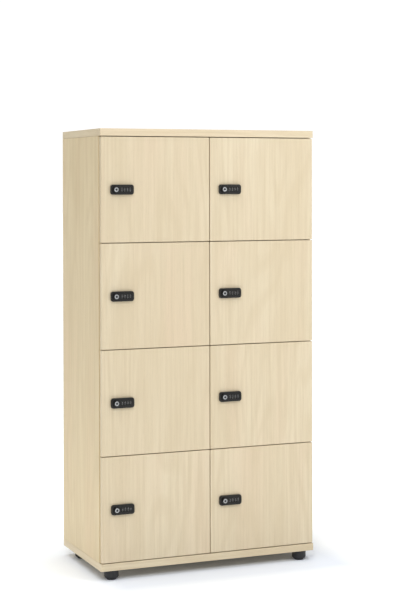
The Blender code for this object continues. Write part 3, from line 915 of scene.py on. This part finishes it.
def copies_at(name, head, spots):
    """One mesh of several copies of a screw head or a cap, each at a matrix."""
    bm = bmesh.new()
    for spot in spots:
        start = len(bm.verts)
        bm.from_mesh(head)
        bm.verts.ensure_lookup_table()
        bmesh.ops.transform(bm, matrix=spot, verts=bm.verts[start:])
    return finish_mesh(bm, name)


def hinge_link(start, end, z):
    """Two link plates, one over the other, from the arm's nose into the cup, at height z."""
    bm = bmesh.new()
    along = (end - start).normalized()
    out = Vector((-along.y, along.x, 0.0))
    for shift, half, thick in LINK_PLATES:
        rings = []
        for k in range(LINK_STEPS + 1):
            centre = start + (end - start) * (k / LINK_STEPS) + out * shift
            ring = []
            for u, v in ((-thick, -half), (thick, -half), (thick, half), (-thick, half)):
                ring.append(bm.verts.new(centre + out * u + Vector((0.0, 0.0, z + v))))
            rings.append(ring)
        bm.faces.new(rings[0])
        bm.faces.new(reversed(rings[-1]))
        for first, second in zip(rings, rings[1:]):
            for k in range(4):
                after = (k + 1) % 4
                bm.faces.new((first[k], second[k], second[after], first[after]))
    return finish_mesh(bm, "hinge_link")


def make_hinges():
    cup, core, plate, arm = hinge_cup(), hinge_core(), mounting_plate(), hinge_arm()
    small = screw_head("flange_screw", *FLANGE_SCREW)
    on_wings = [Matrix.Translation((x, WING_HIGH, z)) for x, z in FLANGE_SCREW_SPOTS]
    cup_screws = copies_at("flange_screws", small, on_wings)
    to_left = Matrix.Rotation(pi / 2, 4, "Z")
    on_plate = [Matrix.Translation(spot) @ to_left for spot in PLATE_SCREW_SPOTS]
    plate_screws = copies_at("plate_screws", small, on_plate)
    on_door = (("cup", cup, NICKEL), ("core", core, ZINC), ("cup_screws", cup_screws, NICKEL))
    on_board = (
        ("plate", plate, NICKEL),
        ("arm", arm, NICKEL),
        ("plate_screws", plate_screws, NICKEL),
    )
    inner_face = {"left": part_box("centre_divider")[0].x, "right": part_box("right_side_panel")[0].x}
    board_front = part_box("centre_divider")[0].y
    for bay in BAYS:
        door = f"door_{bay}"
        axis = hinge_place(bay)
        low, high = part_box(door)
        face_x = inner_face[bay.split("_")[0]]
        for end, z in (("upper", high.z - HINGE_FROM_END), ("lower", low.z + HINGE_FROM_END)):
            name = f"{bay}_{end}"
            seat = Vector((axis.x - HINGE_CUP_INSET, high.y, z))
            root = Vector((face_x, board_front, z))
            for kind, mesh, finish in on_door:
                piece(f"hinge_{kind}_{name}", mesh, finish, door, seat)
            for kind, mesh, finish in on_board:
                piece(f"hinge_{kind}_{name}", mesh, finish, "cabinet", root)
            start = Vector((face_x + LINK_FROM[0], board_front + LINK_FROM[1], 0.0))
            stop = Vector((axis.x + LINK_TO[0], high.y + LINK_TO[1], 0.0))
            link = object_from(hinge_link(start, stop, z), f"hinge_link_{name}")
            link.data.materials.append(ZINC)
            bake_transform(link)


# ---------------------------------------------------------------- small fittings of the boards


BUMPER_RADIUS, BUMPER_SHOULDER, BUMPER_TOP = 0.0042, 0.0016, 0.0017
BUMPER_INSET, BUMPER_FROM_END = 0.0050, 0.030
CAP_RADIUS, CAP_SHOULDER, CAP_BOTTOM = 0.0088, -0.0009, -0.0010
CAP_INSET, CAP_FROM_EDGE = 0.034, 0.060
BACK_SCREW_INSET, BACK_SCREW_ROWS = 0.010, 6


def button_mesh(name, radius, shoulder, top, rounding, sides, to_world):
    """A flat round button with a rounded rim, standing on height 0."""
    profile = [(0.0, 0.0, 0), (radius, 0.0, 0), (radius, shoulder, rounding), (0.0, top, 0)]
    return turned_mesh(name, rounded_profile(profile), sides, to_world)


def make_bumpers():
    """Two clear buffers on each door's back, where it meets the board beside its free edge."""
    sizes = (BUMPER_RADIUS, BUMPER_SHOULDER, BUMPER_TOP, 0.0014)
    dot = button_mesh("bumper", *sizes, 32, ALONG_Y)
    for bay in BAYS:
        low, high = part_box(f"door_{bay}")
        heights = (("upper", high.z - BUMPER_FROM_END), ("lower", low.z + BUMPER_FROM_END))
        for end, z in heights:
            spot = Vector((low.x + BUMPER_INSET, high.y, z))
            piece(f"door_bumper_{bay}_{end}", dot, CLEAR_BUFFER, f"door_{bay}",
                  spot)


def make_cover_caps():
    """Round cover caps of the cam fittings, on the underside of each shelf."""
    sizes = (CAP_RADIUS, CAP_SHOULDER, CAP_BOTTOM, 0.0005)
    cap = button_mesh("cover_cap", *sizes, 36, ALONG_Z)
    for node in sorted(NODES):
        if not node.startswith("shelf_"):
            continue
        low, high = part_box(node)
        spots = [
            Matrix.Translation((x, y, low.z))
            for x in (low.x + CAP_INSET, high.x - CAP_INSET)
            for y in (low.y + CAP_FROM_EDGE, high.y - CAP_FROM_EDGE)
        ]
        caps = copies_at("cover_caps", cap, spots)
        piece(f"cover_caps_{node}", caps, CAP_BEIGE, "cabinet")


def make_back_screws():
    """Pan head screws along the edges of the back panel, sunk in its recess."""
    low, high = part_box("back_panel")
    head = screw_head("back_screw", *BACK_SCREW)
    inset = BACK_SCREW_INSET
    spots = []
    for row in range(BACK_SCREW_ROWS):
        share = row / (BACK_SCREW_ROWS - 1)
        z = low.z + inset + (high.z - low.z - 2 * inset) * share
        for x in (low.x + inset, high.x - inset, (low.x + high.x) / 2):
            spots.append(Matrix.Translation((x, high.y, z)))
    screws = copies_at("back_panel_screws", head, spots)
    piece("back_panel_screws", screws, ZINC, "cabinet")


# ---------------------------------------------------------------- camera, light and floor

CAMERA_PLACE = (-2.0697, -5.0923, 1.3444)
CAMERA_YAW, CAMERA_PITCH, CAMERA_ROLL = 0.3950, -0.01086, 0.00186
CAMERA_LENS, SENSOR = 91.815, 36.0
CAMERA_SHIFT_Y = -0.16575
CAMERA_REACH = 100.0


def make_camera():
    data = bpy.data.cameras.new("camera")
    data.lens = CAMERA_LENS
    data.sensor_width = SENSOR
    data.shift_y = CAMERA_SHIFT_Y
    data.clip_end = CAMERA_REACH
    camera = object_from(data, "camera")
    turn = Euler((pi / 2 + CAMERA_PITCH, 0.0, -CAMERA_YAW)).to_matrix().to_4x4()
    roll = Matrix.Rotation(-CAMERA_ROLL, 4, "Z")
    camera.matrix_world = Matrix.Translation(CAMERA_PLACE) @ turn @ roll
    bpy.context.scene.camera = camera


SKY_STRENGTH, SKY_SEEN = 0.28, 1.05
FLOOR_REACH = 60.0
FLOOR_COLOUR = (0.86, 0.885, 0.91, 1.0)
FLOOR_PAINTED_SHADE_COLOUR = (0.76, 0.80, 0.87, 1.0)
# The floor's tone and glow change with the distance from a patch under the object: painted shade
# makes the floor darker and bluer near the object, and a painted glow lifts it farther out.
FOOTPRINT_PLACE = (0.06, -0.10, 0.0)
FOOTPRINT_HALF = (0.40, 0.20, 0.0)
PAINTED_GLOW_DISTANCE, PAINTED_GLOW_NEAR, PAINTED_GLOW_FAR = 0.40, 0.03, 0.25
PAINTED_SHADE_DISTANCE = 0.10
SUN_HEIGHT = 3.0
# Name, direction, strength and angle in degrees.
SUNS = (
    ("overhead", (0.0, 0.0, -1.0), 2.05, 60),
    ("key", (1.2, 2.0, -2.0), 0.60, 15),
    ("side_fill", (1.0, 0.0, -0.4), 0.18, 40),
)
# Name, place, target, width and height, and power in watts.
AREAS = (
    ("front_right", (1.9, -2.6, 2.4), (0.3, -0.2, 1.3), (1.2, 1.2), 29.0),
    ("front_high", (-0.2, -2.4, 2.6), (0.0, -0.2, 1.4), (1.6, 1.0), 6.0),
    ("low_left", (-1.05, 0.02, 0.10), (-0.4, 0.02, 0.10), (1.0, 0.2), 0.72),
)


def add_light(data, name, place, aim):
    light = object_from(data, name)
    light.location = place
    light.rotation_euler = Vector(aim).to_track_quat("-Z", "Y").to_euler()
    light.visible_camera = False


def sun_light(name, aim, strength, angle):
    data = bpy.data.lights.new(name, "SUN")
    data.energy = strength
    data.angle = radians(angle)
    add_light(data, name, (0.0, 0.0, SUN_HEIGHT), aim)


def area_light(name, place, target, size, power):
    data = bpy.data.lights.new(name, "AREA")
    data.shape = "RECTANGLE"
    data.size, data.size_y = size
    data.energy = power
    add_light(data, name, place, Vector(target) - Vector(place))


def make_world():
    """A dim white sky for light and reflections, which the camera sees as plain white."""
    world = bpy.data.worlds.new("studio")
    world.use_nodes = True
    tree = world.node_tree
    sky = tree.nodes["Background"]
    sky.inputs["Color"].default_value = (1.0, 1.0, 1.0, 1.0)
    path = tree.nodes.new("ShaderNodeLightPath")
    strength = tree.nodes.new("ShaderNodeMapRange")
    strength.inputs["To Min"].default_value = SKY_STRENGTH
    strength.inputs["To Max"].default_value = SKY_SEEN
    tree.links.new(path.outputs["Is Camera Ray"], strength.inputs["Value"])
    tree.links.new(strength.outputs[0], sky.inputs["Strength"])
    bpy.context.scene.world = world


def make_floor():
    """A pale floor, a little darker round the object than far from it: painted shade near it and a
    painted glow farther out.
    """
    mesh = bpy.data.meshes.new("floor")
    signs = ((-1, -1), (1, -1), (1, 1), (-1, 1))
    corners = [(x * FLOOR_REACH, y * FLOOR_REACH, 0.0) for x, y in signs]
    mesh.from_pydata(corners, [], [(0, 1, 2, 3)])
    floor = object_from(mesh, "floor")
    n = Nodes("floor_white")
    place = n.put("ShaderNodeTexCoord").outputs["Object"]
    place = n.vector("ABSOLUTE", n.vector("SUBTRACT", place, FOOTPRINT_PLACE))
    place = n.vector("MAXIMUM", n.vector("SUBTRACT", place, FOOTPRINT_HALF))
    distance = n.vector("LENGTH", place, output="Value")
    # Painted glow: the floor gives off more light the farther it is from the object.
    painted_glow = n.between(distance, 0.0, PAINTED_GLOW_DISTANCE, PAINTED_GLOW_NEAR, PAINTED_GLOW_FAR)
    # Painted shade: a darker, bluer floor colour near the object.
    painted_shade_tone = n.blend(n.between(distance, 0.0, PAINTED_SHADE_DISTANCE), FLOOR_PAINTED_SHADE_COLOUR, FLOOR_COLOUR)
    n.shader.inputs["Emission Color"].default_value = (1.0, 1.0, 1.0, 1.0)
    n.feed(n.shader.inputs["Emission Strength"], painted_glow)
    n.shader.inputs["Specular IOR Level"].default_value = 0.1
    mesh.materials.append(n.shade(Base_Color=painted_shade_tone, Roughness=0.9))


def make_studio():
    view = bpy.context.scene.view_settings
    view.view_transform = "Standard"
    view.look = "None"
    make_world()
    make_floor()
    for sun in SUNS:
        sun_light(*sun)
    for area in AREAS:
        area_light(*area)


# ---------------------------------------------------------------- the scene

make_camera()
make_studio()
dress_boards()
make_locks()
make_feet()
make_hinges()
make_bumpers()
make_cover_caps()
make_back_screws()
